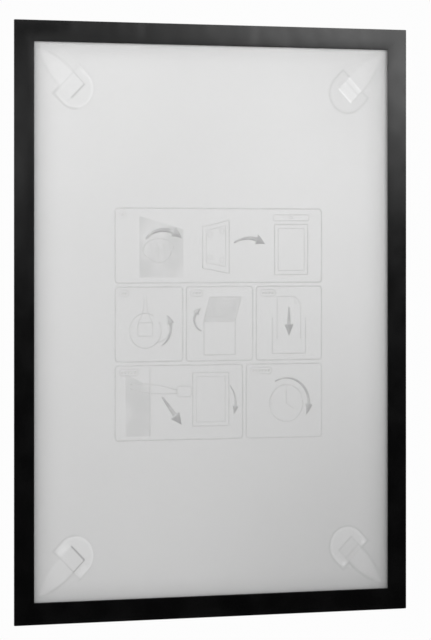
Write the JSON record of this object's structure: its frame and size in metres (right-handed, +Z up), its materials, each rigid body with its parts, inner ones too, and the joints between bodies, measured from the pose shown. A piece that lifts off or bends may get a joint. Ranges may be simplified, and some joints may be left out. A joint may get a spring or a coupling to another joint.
{
  "type": "sign frame",
  "caption": "Flat self-adhesive sign frame: a black magnetic cover with a matt window, hinged at the top over a milky rear panel with corner fixings.",
  "frame": {"origin": "centre of the wall plane, midway between the four corner adhesives", "axes": "+Y into the wall, the sign faces -Y; +Z up, along the long side; +X to the right for someone who reads the sign"},
  "size_m": [0.325, 0.0039, 0.445],
  "materials": {
    "facing_foil": "black satin foil",
    "magnet_rubber": "matt black magnetic rubber",
    "window_film": "matt, clear, anti-glare",
    "hinge_tape": "black film tape",
    "keeper_strip": "matt black, filled with iron",
    "rear_panel": "milky, with a pale grey print",
    "base_pad": "clear film",
    "adhesive": "whitish stretch-release adhesive",
    "pull_tab": "translucent white film"
  },
  "bodies": {
    "rear": {"keeper_strip_top": "keeper_strip", "keeper_strip_bottom": "keeper_strip", "keeper_strip_left": "keeper_strip", "keeper_strip_right": "keeper_strip", "rear_panel": "rear_panel", "hinge_leaf_rear": "hinge_tape", "base_pad_top_left": "base_pad", "base_pad_top_right": "base_pad", "base_pad_bottom_left": "base_pad", "base_pad_bottom_right": "base_pad", "adhesive_strip_top_left": "adhesive", "adhesive_strip_top_right": "adhesive", "adhesive_strip_bottom_left": "adhesive", "adhesive_strip_bottom_right": "adhesive", "pull_tab_top_left": "pull_tab", "pull_tab_top_right": "pull_tab", "pull_tab_bottom_left": "pull_tab", "pull_tab_bottom_right": "pull_tab"},
    "cover": {"facing_frame": "facing_foil", "cover_magnet_top": "magnet_rubber", "cover_magnet_bottom": "magnet_rubber", "cover_magnet_left": "magnet_rubber", "cover_magnet_right": "magnet_rubber", "window_film": "window_film", "hinge_leaf_cover": "hinge_tape"}
  },
  "joints": [
    {"name": "cover_hinge", "type": "hinge", "parent": "rear", "child": "cover", "pos_m": [0, -0.00225, 0.2223], "axis": [-1, 0, 0], "range_deg": [0, 180]}
  ]
}
